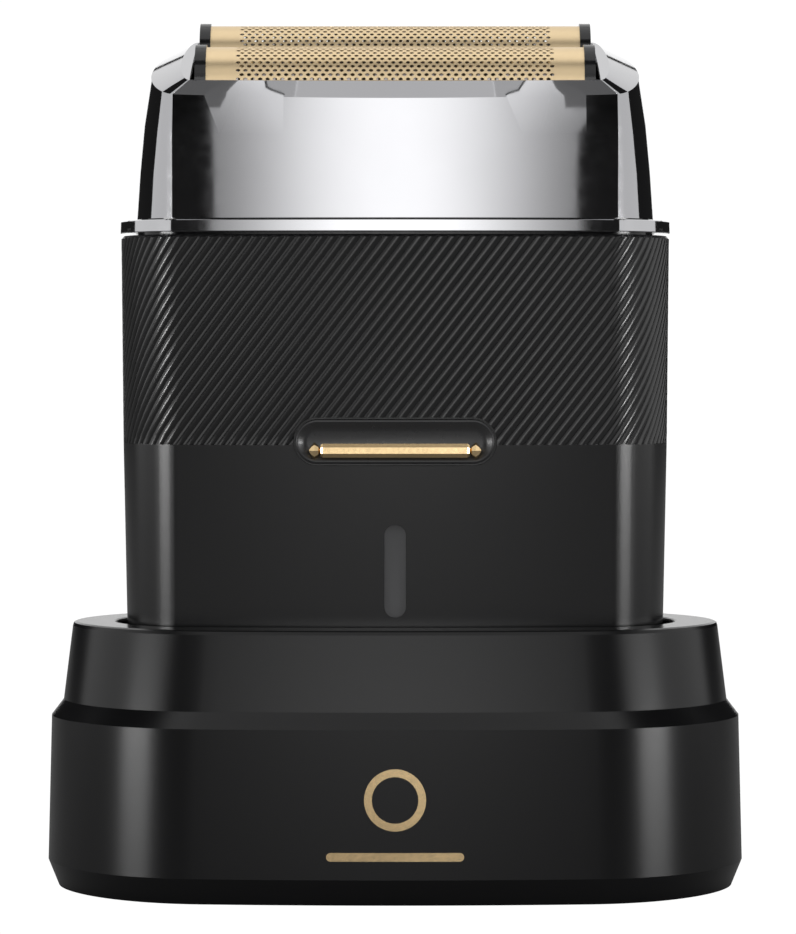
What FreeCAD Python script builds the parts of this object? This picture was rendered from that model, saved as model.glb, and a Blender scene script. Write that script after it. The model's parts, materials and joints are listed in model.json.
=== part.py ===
import FreeCAD, Part

# Foil shaver standing in its charging dock, as an assembly of separate solids.
#
# Millimetres, +Z up, the front faces -Y. The origin is the middle of the dock's footprint, on the surface
# that its feet stand on. Each function below makes one node, and PARTS at the end says which file it goes to.

import math
import os
from FreeCAD import Placement, Rotation, Vector

FRONT, REAR = -1, 1

# ---- dock ------------------------------------------------------------------------------------------------
FOOT_DROP = 0.6  # the rubber feet stand this far below the dock's lower rim
DOCK_TOP = 32.4
DOCK_WALL = 2.2
DOCK_BOW = 240.0  # radius of the dock's gently bowed front and back
DOCK_SIDE = 60.0  # radius of its rounded ends, between the corners
# height, half width, half depth and corner radius of the dock's five outlines, from the bottom up
DOCK_RINGS = (
    (FOOT_DROP, 40.7, 21.1, 18.3),
    (3.7, 41.95, 22.35, 19.5),
    (21.1, 41.5, 21.9, 19.1),
    (23.0, 40.05, 20.45, 17.7),
    (DOCK_TOP, 38.9, 19.3, 16.6),
)
MOUTH = (33.75, 13.2, 9.3)  # half width, half depth and corner radius of the dock's mouth
BASE_TOP = 2.4
BASE_PLAN = (38.2, 18.6, 16.0)
CRADLE_FLOOR = 8.0  # the shaver stands on this
CRADLE_WALL = 1.4
CRADLE_FOOT = (32.3, 12.25, 8.9)
CRADLE_TOP = (33.4, 13.05, 9.2)
BOSS_AT = (20.0, 15.6)
BOSS_R = 2.3
FOOT_AT = (29.0, 9.0)
FOOT_R = 4.0
FOOT_TOP = 1.4
EMBLEM_RISE = 0.2
BOARD_Z = (3.4, 4.6)
PIN_X = 6.0
PIN_R = 0.92
PIN_TOP = 8.45
PIN_FLANGE_TOP = 6.9
SLEEVE_R = 1.7
SOCKET = (8.94, 3.2, 22.15)  # width, height and the y of its mouth
SOCKET_Z = BOARD_Z[1] + SOCKET[1] / 2

# ---- shaver body -------------------------------------------------------------------------------------------
BODY_BOTTOM = CRADLE_FLOOR
CAP_TOP = 11.0
BODY_TOP = 79.2
BODY_WALL = 2.0
BODY_BOW = 150.0
BODY_SIDE = 220.0
# height, half width, half depth and corner radius of the casing's outlines
BODY_RINGS = (
    (CAP_TOP, 31.8, 11.75, 8.6),
    (33.0, 32.38, 12.7, 8.9),
    (55.0, 32.8, 13.7, 9.2),
    (BODY_TOP, 33.0, 14.4, 9.4),
)
GASKET_TOP = BODY_TOP + 0.3
BAND_TOP = 80.95
BAND_INNER = (30.4, 11.8, 6.8)
DECK_BOTTOM = 78.4
DECK_TOP = 82.9
NECK = (29.0, 10.6, 6.0)

BUTTON_Z = 54.3
BUTTON = (23.5, 5.2)  # width and height of the oval power button
BUTTON_FACE_Y = -13.62
BUTTON_BACK_Y = -10.35
BUTTON_GAP = 0.3
BUTTON_TRAVEL = 0.5
SWITCH_FACE_Y = -9.2
BAR_Z = 53.3
WINDOW_Z = (33.5, 44.5)
WINDOW_WIDTH = 2.6

DRIVE_Y = 1.5  # motor and battery cells are centred on this
CELL_X = 19.5
CELL_R = 7.0
CELL_Z = (14.1, 64.1)
SHELF_LOW = 12.8
SHELF_TOP = 14.0
LIP_INSET = 3.0
CAP_SCREW_AT = (27.2, -3.0)
WALL_X = (10.7, 11.9)
MOTOR_Z = (46.0, 70.0)
MOTOR_R = 10.0
MOTOR_FLAT = 7.7
BULKHEAD_TOP = 72.0
PCB_Y = (-7.9, -6.9)
CAM_Z = (72.6, 74.6)
THROW = 0.9  # eccentric throw, which is half the cutters' stroke
CRANK_R = 1.0
CRANK_TOP = 77.4
BRIDGE_Z = (74.9, 77.9)
ROD_Y = 8.0
ROD_Z = 76.4
ROD_R = 0.8
UPRIGHT_X = (19.5, 22.0)
UPRIGHT_Y = (4.2, 9.6)
DECK_SCREW_AT = (20.75, 5.6)
DECK_SCREW_Z = (73.5, 81.9)
SHAFT_R = 1.0
POST_R = 1.7
TIP_R = 1.2
POST_Y = (-6.2, 6.1)  # the two drive posts, front and rear

# ---- head --------------------------------------------------------------------------------------------------
TILT = 15.5  # the shaving plane leans this many degrees towards the front
HEAD_AT = Vector(0, -1.8, 99.7)  # middle of the collar's ridge
HEAD = Placement(HEAD_AT, Rotation(Vector(1, 0, 0), TILT))
COLLAR_BOTTOM = 81.15
COLLAR_WALL = 1.2
RIDGE = (25.6, 11.8, 1.6)
RIDGE_BOW = 330.0
EDGE_BOW = 200.0
REAR_BOW = 1500.0  # the collar is nearly flat at the rear
OPENING = (24.1, 10.8)
EDGE_DROP = 1.8  # the chamfer falls this far from the ridge to the collar's outer edge
# height, y, tilt, half width, half depth and corner radius of the collar's lower outlines
COLLAR_RINGS = (
    (COLLAR_BOTTOM, 0.0, 0.0, 31.15, 13.2, 8.6),
    (86.5, -0.3, 4.0, 30.75, 13.15, 8.3),
    (92.4, -0.8, 9.5, 30.2, 13.15, 8.0),
)
COLLAR_EDGE = (29.3, 13.1, 7.6)
CAVITY_TOP = -3.0

# The rest is measured in the head's own frame: x, y along the shaving plane, h above the collar's ridge.
FOIL_Y = 6.35
FOIL_R = 4.0
FOIL_SHEET = 0.2
FOIL_AXIS_H = -1.1
FOIL_HALF = 22.3
FOIL_SKIRT_H = -5.4
END_X = (22.3, 23.6)
END_R = 4.3
FRAME_H = -6.0
RAIL_H = -3.6
RAIL_Y = (4.0, 4.35)
EAR_X = 25.5
EAR_H = -4.5
CARRIER_H = (-10.0, -8.8)
WINDOW_Y = {FRONT: (-9.4, -4.9), REAR: (3.3, 7.9)}
WINDOW_X = 4.0
LEG_AT = (24.3, 5.0)
LEG_R = 2.0
CARRIER_PLAN = (28.2, 11.0, 6.2)
CARRIER_Y = -1.5  # the collar leans back below the ridge, so the carrier sits off centre
HEAD_SCREW_X = 26.6
BLADE_R = 3.65
BLADE_HALF = 19.8
BLADE_PITCH = 1.1
BLADE_THICK = 0.4
BLADE_CUT_H = -2.8
SPINE = (1.2, -3.8, -2.0)  # half depth, lowest and highest h
HOLDER = (18.5, 2.6, -7.2, -3.8)  # half width, half depth, lowest and highest h
FLOAT = 1.2  # the foils and cutters sink this far, square to the shaving plane
TIP_HEIGHT = 3.9
TIP_GAP = 0.03  # running clearance of a drive tip across its slot
SHOULDER_GAP = 2.5  # the drive posts' shoulders stand this far below the cutter holders


# ---- outlines and simple solids ----------------------------------------------------------------------------
def quarter(a, b, r, bow, side):
    """Where a corner arc of radius r meets a bowed front and a bowed side, and the arc's middle point."""
    front = Vector(0, bow - b, 0)
    end = Vector(a - side, 0, 0)
    reach_front, reach_end = bow - r, side - r
    between = end - front
    gap = between.Length
    along = (reach_front**2 - reach_end**2 + gap**2) / (2 * gap)
    across = math.sqrt(reach_front**2 - along**2)
    unit = between / gap
    corner = front + unit * along + Vector(-unit.y, unit.x, 0) * across
    if corner.y > 0 or corner.x < 0:
        corner = front + unit * along - Vector(-unit.y, unit.x, 0) * across
    to_front = (corner - front).normalize()
    to_end = (corner - end).normalize()
    return front + to_front * bow, corner + (to_front + to_end).normalize() * r, end + to_end * side


def outline(a, b, r, bow, side, rear_bow):
    """A rounded outline of eight tangent arcs: bowed front and rear, bowed sides and four corners."""

    def at(v, sx, sy):
        return Vector(v.x * sx, v.y * sy, 0)

    p, m, q = quarter(a, b, r, bow, side)
    rear_p, rear_m, rear_q = quarter(a, b, r, rear_bow, side)
    arcs = (
        (at(p, 1, 1), at(m, 1, 1), at(q, 1, 1)),
        (at(q, 1, 1), Vector(a, 0, 0), at(rear_q, 1, -1)),
        (at(rear_q, 1, -1), at(rear_m, 1, -1), at(rear_p, 1, -1)),
        (at(rear_p, 1, -1), Vector(0, b, 0), at(rear_p, -1, -1)),
        (at(rear_p, -1, -1), at(rear_m, -1, -1), at(rear_q, -1, -1)),
        (at(rear_q, -1, -1), Vector(-a, 0, 0), at(q, -1, 1)),
        (at(q, -1, 1), at(m, -1, 1), at(p, -1, 1)),
        (at(p, -1, 1), Vector(0, -b, 0), at(p, 1, 1)),
    )
    return Part.Wire([Part.Arc(*three).toShape() for three in arcs])


def ring(size, place, bow=BODY_BOW, side=BODY_SIDE, inset=0.0, rear_bow=None):
    """The outline of half width, half depth and corner radius in size, drawn in by inset, at a placement."""
    a, b, r = (v - inset for v in size)
    wire = outline(a, b, r, bow - inset, side - inset, (rear_bow or bow) - inset)
    wire.Placement = place
    return wire


def level(z, y=0.0, tilt=0.0):
    return Placement(Vector(0, y, z), Rotation(Vector(1, 0, 0), tilt))


def above_ridge(h):
    """A placement parallel to the shaving plane, h above the collar's ridge."""
    return HEAD.multiply(Placement(Vector(0, 0, h), Rotation()))


def loft(wires):
    return Part.makeLoft(wires, True, True)


def slab(size, low, high, bow=BODY_BOW, side=BODY_SIDE):
    """A plate of that outline between two heights."""
    face = Part.Face(ring(size, level(low), bow, side))
    return face.extrude(Vector(0, 0, high - low))


def box(x, y, z):
    """A box given as three (low, high) pairs."""
    return Part.makeBox(x[1] - x[0], y[1] - y[0], z[1] - z[0], Vector(x[0], y[0], z[0]))


def rod(r, x, y, z):
    """A vertical cylinder at x, y between the two heights in z."""
    return Part.makeCylinder(r, z[1] - z[0], Vector(x, y, z[0]))


def oval(width, height, z, y):
    """An upright oval prism along Y between the two depths in y, centred on x = 0 and height z."""
    r = min(width, height) / 2
    run_x, run_z = max(width / 2 - r, 0), max(height / 2 - r, 0)
    ends = [
        Part.makeCylinder(r, y[1] - y[0], Vector(s * run_x, y[0], z + s * run_z), Vector(0, 1, 0))
        for s in (-1, 1)
    ]
    wide = (run_x, r) if run_x else (r, run_z)
    middle = box((-wide[0], wide[0]), y, (z - wide[1], z + wide[1]))
    return ends[0].multiFuse([ends[1], middle]).removeSplitter()


def fuse(*shapes):
    return shapes[0].multiFuse(list(shapes[1:])).removeSplitter()


def in_head(shape):
    """Moves a shape drawn in the head's own frame to its place."""
    shape.Placement = HEAD.multiply(shape.Placement)
    return shape


def mirrored_x(shape):
    return shape.mirror(Vector(0, 0, 0), Vector(1, 0, 0))


def spring(r, wire, turns, foot, top):
    """An upright compression spring of round wire with its lower end at foot, reaching up to height top."""
    height = top - foot.z - 2 * wire
    helix = Part.makeLongHelix(height / turns, height, r)
    profile = Part.Wire(Part.makeCircle(wire, Vector(r, 0, 0), Vector(0, 1, 0)))
    coil = Part.Wire(helix).makePipeShell([profile], True, True)
    coil.translate(foot + Vector(0, 0, wire))
    return coil


def screw(head_r, head_z, shank_r, shank_z, x, y):
    """A screw along Z with a cross recess in its head."""
    recess_depth = (head_z[1] - head_z[0]) * 0.5
    outward = head_z[0] if shank_z[1] > head_z[1] else head_z[1] - recess_depth
    slot = head_r * 0.6
    thin = head_r * 0.12
    z = (outward, outward + recess_depth)
    body = fuse(rod(head_r, x, y, head_z), rod(shank_r, x, y, shank_z))
    cross = fuse(
        box((x - slot, x + slot), (y - thin, y + thin), z),
        box((x - thin, x + thin), (y - slot, y + slot), z),
    )
    return body.cut(cross)


def corners(at):
    return [(sx * at[0], sy * at[1]) for sx in (-1, 1) for sy in (-1, 1)]


# ---- dock --------------------------------------------------------------------------------------------------
def dock_rings(inset):
    return [ring((a, b, r), level(z), DOCK_BOW, DOCK_SIDE, inset) for z, a, b, r in DOCK_RINGS]


def dock_housing():
    under_top = DOCK_TOP - DOCK_WALL
    hollow = loft(dock_rings(DOCK_WALL)).common(box((-60, 60), (-60, 60), (0, under_top)))
    bosses = []
    for x, y in corners(BOSS_AT):
        web_y = (y, math.copysign(19.9, y))
        bosses.append(rod(BOSS_R, x, y, (BASE_TOP, 18.0)))
        bosses.append(box((x - 0.8, x + 0.8), (min(web_y), max(web_y)), (BASE_TOP, 18.0)))
    shell = fuse(loft(dock_rings(0)).cut(hollow), *bosses)
    mouth = slab(MOUTH, under_top - 1, DOCK_TOP + 1)
    pilots = [rod(1.17, x, y, (0, 12.0)) for x, y in corners(BOSS_AT)]
    width, height, mouth_y = SOCKET
    socket = oval(width + 0.2, height + 0.2, SOCKET_Z, (mouth_y - 6, mouth_y + 4))
    return shell.cut(Part.makeCompound([mouth, socket] + pilots))


def cradle_loft(inset, low, high):
    """The cradle's outline between two heights, drawn in by inset; it widens from its floor to its top."""
    top_z = DOCK_TOP - DOCK_WALL
    wires = [ring(CRADLE_FOOT, level(z), inset=inset) for z in sorted({low, CRADLE_FLOOR})]
    wires += [ring(CRADLE_TOP, level(z), inset=inset) for z in sorted({top_z, high})]
    return loft(wires)


def dock_cradle():
    top_z = DOCK_TOP - DOCK_WALL
    outer = cradle_loft(-CRADLE_WALL, CRADLE_FLOOR - 1.6, top_z)
    cup = outer.cut(cradle_loft(0, CRADLE_FLOOR, top_z + 1))
    holes = [rod(SLEEVE_R, s * PIN_X, 0, (6, 9)) for s in (-1, 1)]
    return cup.cut(Part.makeCompound(holes))


def dock_base_plate():
    plate = slab(BASE_PLAN, FOOT_DROP, BASE_TOP, DOCK_BOW, DOCK_SIDE)
    standoffs = [rod(1.5, x, y, (BASE_TOP, BOARD_Z[0])) for x in (-14, 14) for y in (-6, 13)]
    cuts = [rod(FOOT_R, x, y, (0, FOOT_TOP)) for x, y in corners(FOOT_AT)]
    cuts += [rod(1.3, x, y, (0, 3)) for x, y in corners(BOSS_AT)]
    cuts += [rod(2.05, x, y, (0, FOOT_DROP + 0.9)) for x, y in corners(BOSS_AT)]
    return fuse(plate, *standoffs).cut(Part.makeCompound(cuts))


def dock_feet():
    return Part.makeCompound([rod(FOOT_R, x, y, (0, FOOT_TOP)) for x, y in corners(FOOT_AT)])


def dock_screws():
    head_z = (FOOT_DROP, FOOT_DROP + 0.9)
    return Part.makeCompound(
        [screw(2.0, head_z, 1.16, (head_z[1], 11.0), x, y) for x, y in corners(BOSS_AT)]
    )


def dock_ballast():
    return Part.makeCompound(
        [box((min(s * 18, s * 31), max(s * 18, s * 31)), (-12.5, 12.5), (BASE_TOP, 6.2)) for s in (-1, 1)]
    )


def dock_circuit_board():
    return box((-16, 16), (-9, 19.5), BOARD_Z)


def contact_sleeves():
    sleeves = []
    for s in (-1, 1):
        sleeve = rod(SLEEVE_R, s * PIN_X, 0, (BOARD_Z[1], CRADLE_FLOOR))
        bore = fuse(rod(PIN_R + 0.05, s * PIN_X, 0, (4, 9)), rod(1.3, s * PIN_X, 0, (4, PIN_FLANGE_TOP)))
        sleeves.append(sleeve.cut(bore))
    return Part.makeCompound(sleeves)


def charge_pins():
    pins = []
    for s in (-1, 1):
        shaft = rod(PIN_R, s * PIN_X, 0, (PIN_FLANGE_TOP - 0.8, PIN_TOP))
        flange = rod(1.25, s * PIN_X, 0, (PIN_FLANGE_TOP - 0.8, PIN_FLANGE_TOP))
        pins.append(fuse(shaft, flange))
    return Part.makeCompound(pins)


def charge_pin_springs():
    foot = [Vector(s * PIN_X, 0, BOARD_Z[1]) for s in (-1, 1)]
    return Part.makeCompound([spring(0.9, 0.12, 3, at, PIN_FLANGE_TOP - 0.8) for at in foot])


def charging_socket():
    width, height, mouth_y = SOCKET
    shell = oval(width, height, SOCKET_Z, (mouth_y - 7.3, mouth_y))
    space = oval(width - 0.8, height - 0.8, SOCKET_Z, (mouth_y - 6.6, mouth_y + 1))
    tongue = box((-3.2, 3.2), (mouth_y - 7, mouth_y - 1), (SOCKET_Z - 0.35, SOCKET_Z + 0.35))
    return fuse(shell.cut(space), tongue)


def on_dock_front(prism):
    """The part of a prism along Y that stands EMBLEM_RISE proud of the dock's front wall."""
    skin = loft(dock_rings(-EMBLEM_RISE)).cut(loft(dock_rings(0)))
    return skin.common(prism)


def emblem_ring():
    disc = Part.makeCylinder(3.6, 12, Vector(0, -30, 13.0), Vector(0, 1, 0))
    hole = Part.makeCylinder(2.7, 12, Vector(0, -30, 13.0), Vector(0, 1, 0))
    return on_dock_front(disc.cut(hole))


def emblem_bar():
    return on_dock_front(oval(16.0, 1.0, 6.4, (-30, -18)))


# ---- shaver body -------------------------------------------------------------------------------------------
def body_rings(inset):
    return [ring((a, b, r), level(z), inset=inset) for z, a, b, r in BODY_RINGS]


def housing_half(side):
    """The casing's front half for side -1 and its rear half for side 1, split on the plane y = 0."""
    tube = loft(body_rings(0)).cut(loft(body_rings(BODY_WALL)))
    half_y = (min(0, side * 60), max(0, side * 60))
    return tube.common(box((-60, 60), half_y, (0, 100)))


def front_housing():
    width, height = BUTTON
    button = oval(width + 2 * BUTTON_GAP, height + 2 * BUTTON_GAP, BUTTON_Z, (-20, -5))
    window = oval(WINDOW_WIDTH, WINDOW_Z[1] - WINDOW_Z[0], sum(WINDOW_Z) / 2, (-20, -5))
    return housing_half(-1).cut(Part.makeCompound([button, window]))


def rear_housing():
    return housing_half(1)


def bottom_cap():
    a, b, r = BODY_RINGS[0][1:]
    foot = (a - 0.7, b - 0.7, r - 0.7)
    shell = loft([ring(foot, level(BODY_BOTTOM)), ring((a, b, r), level(CAP_TOP))])
    lip = loft([ring((a, b, r), level(z), inset=LIP_INSET) for z in (CAP_TOP - 1.5, SHELF_LOW)])
    space = loft([ring((a, b, r), level(z), inset=LIP_INSET + 1.2) for z in (9.4, SHELF_LOW + 1)])
    screw_x, screw_y = CAP_SCREW_AT
    bosses = [rod(2.9, s * PIN_X, 0, (9.0, 10.4)) for s in (-1, 1)]
    bosses += [rod(2.6, s * screw_x, screw_y, (9.0, CAP_TOP)) for s in (-1, 1)]
    cuts = []
    for s in (-1, 1):
        cuts.append(rod(1.5, s * PIN_X, 0, (7, 9)))
        cuts.append(rod(2.2, s * PIN_X, 0, (PIN_TOP, 11)))
        cuts.append(rod(1.0, s * screw_x, screw_y, (7, 14)))
        cuts.append(rod(1.8, s * screw_x, screw_y, (7, 9.4)))
    return fuse(fuse(shell, lip).cut(space), *bosses).cut(Part.makeCompound(cuts))


def cap_seal():
    a, b, r = BODY_RINGS[0][1:]
    high = CAP_TOP + 1.0
    outer = loft([ring((a, b, r), level(z), inset=BODY_WALL + 0.02) for z in (CAP_TOP, high)])
    inner = loft([ring((a, b, r), level(z), inset=LIP_INSET) for z in (CAP_TOP - 1, high + 1)])
    return outer.cut(inner)


def contact_plates():
    return Part.makeCompound([rod(2.2, s * PIN_X, 0, (PIN_TOP, 9.6)) for s in (-1, 1)])


def cap_screws():
    head_z = (8.4, 9.4)
    return Part.makeCompound(
        [screw(1.7, head_z, 0.8, (head_z[1], 22.0), s * CAP_SCREW_AT[0], CAP_SCREW_AT[1]) for s in (-1, 1)]
    )


def chassis():
    a, b, r = BODY_RINGS[0][1:]
    floor = slab((a - 2.3, b - 2.3, r - 2.3), SHELF_LOW, SHELF_TOP)
    a, b, r = BODY_RINGS[2][1:]
    bulkhead = slab((a - 2.3, b - 2.3, r - 2.3), MOTOR_Z[1], BULKHEAD_TOP)
    walls = []
    for s in (-1, 1):
        x = sorted((s * WALL_X[0], s * WALL_X[1]))
        walls.append(box(x, (PCB_Y[1], 8.0), (SHELF_TOP, MOTOR_Z[1])))
        walls.append(rod(1.6, s * CAP_SCREW_AT[0], CAP_SCREW_AT[1], (SHELF_TOP, 24.0)))
        for t in (-1, 1):
            x = sorted((s * UPRIGHT_X[0], s * UPRIGHT_X[1]))
            y = sorted((t * UPRIGHT_Y[0], t * UPRIGHT_Y[1]))
            walls.append(box(x, y, (BULKHEAD_TOP, DECK_BOTTOM)))
    cuts = [rod(0.8, s * CAP_SCREW_AT[0], CAP_SCREW_AT[1], (12, 22.0)) for s in (-1, 1)]
    cuts += [rod(0.8, x, y, (DECK_SCREW_Z[0], 80)) for x, y in corners(DECK_SCREW_AT)]
    cuts += [rod_along_x(ROD_R, s * ROD_Y) for s in (-1, 1)]
    cuts.append(rod(4.0, 0, DRIVE_Y, (69, 73)))
    return fuse(floor, bulkhead, *walls).cut(Part.makeCompound(cuts))


def rod_along_x(r, y):
    return Part.makeCylinder(r, 2 * UPRIGHT_X[1], Vector(-UPRIGHT_X[1], y, ROD_Z), Vector(1, 0, 0))


def guide_rods():
    return Part.makeCompound([rod_along_x(ROD_R, s * ROD_Y) for s in (-1, 1)])


def battery_cells():
    cells = []
    for s in (-1, 1):
        can = rod(CELL_R, s * CELL_X, DRIVE_Y, (CELL_Z[0], CELL_Z[1] - 1.2))
        cells.append(fuse(can, rod(2.7, s * CELL_X, DRIVE_Y, CELL_Z)))
    return Part.makeCompound(cells)


def main_circuit_board():
    return box((-WALL_X[1], WALL_X[1]), PCB_Y, (15, 68))


def tactile_switch():
    return box((-3, 3), (SWITCH_FACE_Y, PCB_Y[0]), (BUTTON_Z - 3, BUTTON_Z + 3))


def indicator_led():
    z = sum(WINDOW_Z) / 2
    return box((-1.5, 1.5), (-9.2, PCB_Y[0]), (z - 1.5, z + 1.5))


def indicator_lens():
    z = sum(WINDOW_Z) / 2
    height = WINDOW_Z[1] - WINDOW_Z[0]
    pane = oval(WINDOW_WIDTH - 0.04, height - 0.04, z, (-12.3, -10.0))
    return fuse(pane, oval(WINDOW_WIDTH + 1.6, height + 1.6, z, (-10.55, -9.6)))


def motor_can():
    y = (DRIVE_Y - MOTOR_FLAT, DRIVE_Y + MOTOR_FLAT)
    can = rod(MOTOR_R, 0, DRIVE_Y, MOTOR_Z).common(box((-12, 12), y, (0, 90)))
    boss = rod(3.9, 0, DRIVE_Y, (MOTOR_Z[1], BULKHEAD_TOP - 0.4))
    return fuse(can, boss).cut(rod(SHAFT_R + 0.05, 0, DRIVE_Y, (MOTOR_Z[0] + 3, 80)))


def motor_shaft():
    return rod(SHAFT_R, 0, DRIVE_Y, (MOTOR_Z[0] + 3, CAM_Z[1]))


def eccentric_cam():
    disc = rod(3.6, 0, DRIVE_Y, CAM_Z)
    crank = rod(CRANK_R, THROW, DRIVE_Y, (CAM_Z[0] + 1, CRANK_TOP))
    return fuse(disc.cut(rod(SHAFT_R, 0, DRIVE_Y, CAM_Z)), crank.cut(rod(SHAFT_R, 0, DRIVE_Y, CAM_Z)))


def head_deck():
    a, b, r = BODY_RINGS[3][1:]
    flange = slab((a - 2.15, b - 2.15, r - 2.15), DECK_BOTTOM, BODY_TOP)
    plug = slab(BAND_INNER, BODY_TOP, BAND_TOP)
    neck = slab(NECK, BAND_TOP, DECK_TOP)
    cuts = []
    for y in POST_Y:
        run = THROW + 0.4
        cuts.append(box((-run, run), (y - POST_R - 0.4, y + POST_R + 0.4), (70, 90)))
        cuts += [rod(POST_R + 0.4, s * run, y, (70, 90)) for s in (-1, 1)]
    cuts += [rod(1.0, x, y, (70, 90)) for x, y in corners(DECK_SCREW_AT)]
    cuts += [rod(1.7, x, y, (DECK_SCREW_Z[1], 90)) for x, y in corners(DECK_SCREW_AT)]
    return fuse(flange, plug, neck).cut(Part.makeCompound(cuts))


def deck_screws():
    low, seat = DECK_SCREW_Z
    return Part.makeCompound(
        [screw(1.6, (seat, DECK_TOP), 0.8, (low, seat), x, y) for x, y in corners(DECK_SCREW_AT)]
    )


def band(size, low, high):
    return slab(size, low, high).cut(slab(BAND_INNER, low - 1, high + 1))


def deck_seal():
    a, b, r = BODY_RINGS[3][1:]
    return band((a - 0.5, b - 0.5, r - 0.5), BODY_TOP, GASKET_TOP)


def head_bezel():
    a, b, r = BODY_RINGS[3][1:]
    return band((a + 0.15, b + 0.1, r + 0.1), GASKET_TOP, BAND_TOP)


def head_catches():
    return Part.makeCompound(
        [box(sorted((s * NECK[0], s * (NECK[0] + 0.5))), (-2.5, 2.5), (81.0, 82.6)) for s in (-1, 1)]
    )


def power_button():
    width, height = BUTTON
    face = oval(width, height, BUTTON_Z, (BUTTON_FACE_Y, -11.0))
    flange = oval(width + 2.0, height + 2.0, BUTTON_Z, (-10.95, BUTTON_BACK_Y))
    stem = Part.makeCylinder(1.5, SWITCH_FACE_Y - BUTTON_TRAVEL - BUTTON_BACK_Y,
                             Vector(0, BUTTON_BACK_Y, BUTTON_Z), Vector(0, 1, 0))
    return fuse(face, flange, stem)


def button_bar():
    return oval(20.2, 1.5, BAR_Z, (BUTTON_FACE_Y - 0.5, BUTTON_FACE_Y))


# ---- drive -------------------------------------------------------------------------------------------------
def shoulder_z(s):
    """The height of one drive post's shoulder, under the middle of its cutter holder."""
    y = POST_Y[0] if s < 0 else POST_Y[1]
    tilt = math.radians(TILT)
    holder_z = HEAD_AT.z + (HOLDER[2] + (y - HEAD_AT.y) * math.sin(tilt)) / math.cos(tilt)
    return y, holder_z - SHOULDER_GAP


def oscillator_bridge():
    plate = box((-14, 14), (-9.8, 9.8), BRIDGE_Z)
    run = (2 * THROW + CRANK_R + 0.1, THROW + CRANK_R + 0.1)
    cuts = [box((-run[0], run[0]), (DRIVE_Y - run[1], DRIVE_Y + run[1]), (70, CRANK_TOP + 0.2))]
    cuts += [rod_along_x(ROD_R + 0.03, s * ROD_Y) for s in (-1, 1)]
    posts = []
    for s in (FRONT, REAR):
        y, shoulder = shoulder_z(s)
        posts.append(rod(POST_R, 0, y, (BRIDGE_Z[1] - 0.5, shoulder)))
        posts.append(rod(TIP_R, 0, y, (shoulder - 0.5, shoulder + TIP_HEIGHT)))
    return fuse(plate.cut(Part.makeCompound(cuts)), *posts)


def cutter_blades(s):
    blades = []
    count = int(2 * BLADE_HALF / BLADE_PITCH)
    for i in range(count + 1):
        x = (i - count / 2) * BLADE_PITCH - BLADE_THICK / 2
        disc = Part.makeCylinder(BLADE_R, BLADE_THICK, Vector(x, s * FOIL_Y, FOIL_AXIS_H), Vector(1, 0, 0))
        blades.append(disc)
    keep = box((-40, 40), (-20, 20), (BLADE_CUT_H, 20))
    half, low, high = SPINE
    end = count / 2 * BLADE_PITCH + BLADE_THICK / 2
    spine = box((-end, end), (s * FOIL_Y - half, s * FOIL_Y + half), (low, high))
    pack = Part.makeCompound(blades).common(keep)
    return in_head(spine.multiFuse(pack.Solids))


def cutter_holder(s):
    half, depth, low, high = HOLDER
    block = in_head(box((-half, half), (s * FOIL_Y - depth, s * FOIL_Y + depth), (low, high)))
    y, shoulder = shoulder_z(s)
    wide = TIP_R + TIP_GAP
    drift = FLOAT * math.sin(math.radians(TILT))
    slot = box((-wide, wide), (y - wide - drift, y + wide), (shoulder, shoulder + TIP_HEIGHT + FLOAT))
    return block.cut(slot)


def cutter_spring(s):
    y, shoulder = shoulder_z(s)
    return spring(TIP_R + 0.25, 0.12, 2.5, Vector(0, y, shoulder), shoulder + SHOULDER_GAP - 0.45)


# ---- head --------------------------------------------------------------------------------------------------
def collar_rings(inset):
    rings = [
        ring((a, b, r), level(z, y, tilt), inset=inset, rear_bow=REAR_BOW)
        for z, y, tilt, a, b, r in COLLAR_RINGS
    ]
    rings.append(ring(COLLAR_EDGE, above_ridge(-EDGE_DROP), EDGE_BOW, inset=inset, rear_bow=REAR_BOW))
    return rings


def head_collar():
    outer = loft(collar_rings(0) + [ring(RIDGE, above_ridge(0), RIDGE_BOW, rear_bow=REAR_BOW)])
    cavity = loft(collar_rings(COLLAR_WALL))
    below = in_head(box((-60, 60), (-60, 60), (-60, CAVITY_TOP)))
    half_x, half_y = OPENING
    opening = in_head(box((-half_x, half_x), (-half_y, half_y), (CAVITY_TOP - 1, 6)))
    bosses = [in_head(rod(1.6, s * HEAD_SCREW_X, 0, (CARRIER_H[1], CAVITY_TOP + 0.5))) for s in (-1, 1)]
    pilots = [in_head(rod(0.7, s * HEAD_SCREW_X, 0, (-12, CAVITY_TOP - 1))) for s in (-1, 1)]
    shell = outer.cut(cavity.common(below)).cut(opening)
    return fuse(shell, *bosses).cut(Part.makeCompound(pilots))


def head_frame():
    low, high = CARRIER_H
    at = HEAD.multiply(Placement(Vector(0, CARRIER_Y, low), Rotation()))
    face = Part.Face(ring(CARRIER_PLAN, at))
    plate = face.extrude(HEAD.Rotation.multVec(Vector(0, 0, high - low)))
    legs = []
    for x, y in corners(LEG_AT):
        drop = (low + high) / 2
        top = HEAD_AT.z + (drop + (y - HEAD_AT.y) * math.sin(math.radians(TILT))) / math.cos(
            math.radians(TILT)
        )
        legs.append(rod(LEG_R, x, y, (DECK_TOP, top)))
    cuts = []
    for s in (-1, 1):
        cuts.append(in_head(box((-WINDOW_X, WINDOW_X), WINDOW_Y[s], (-20, 0))))
        cuts.append(in_head(rod(0.85, s * HEAD_SCREW_X, 0, (-20, 0))))
    return fuse(plate, *legs).cut(Part.makeCompound(cuts))


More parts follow.
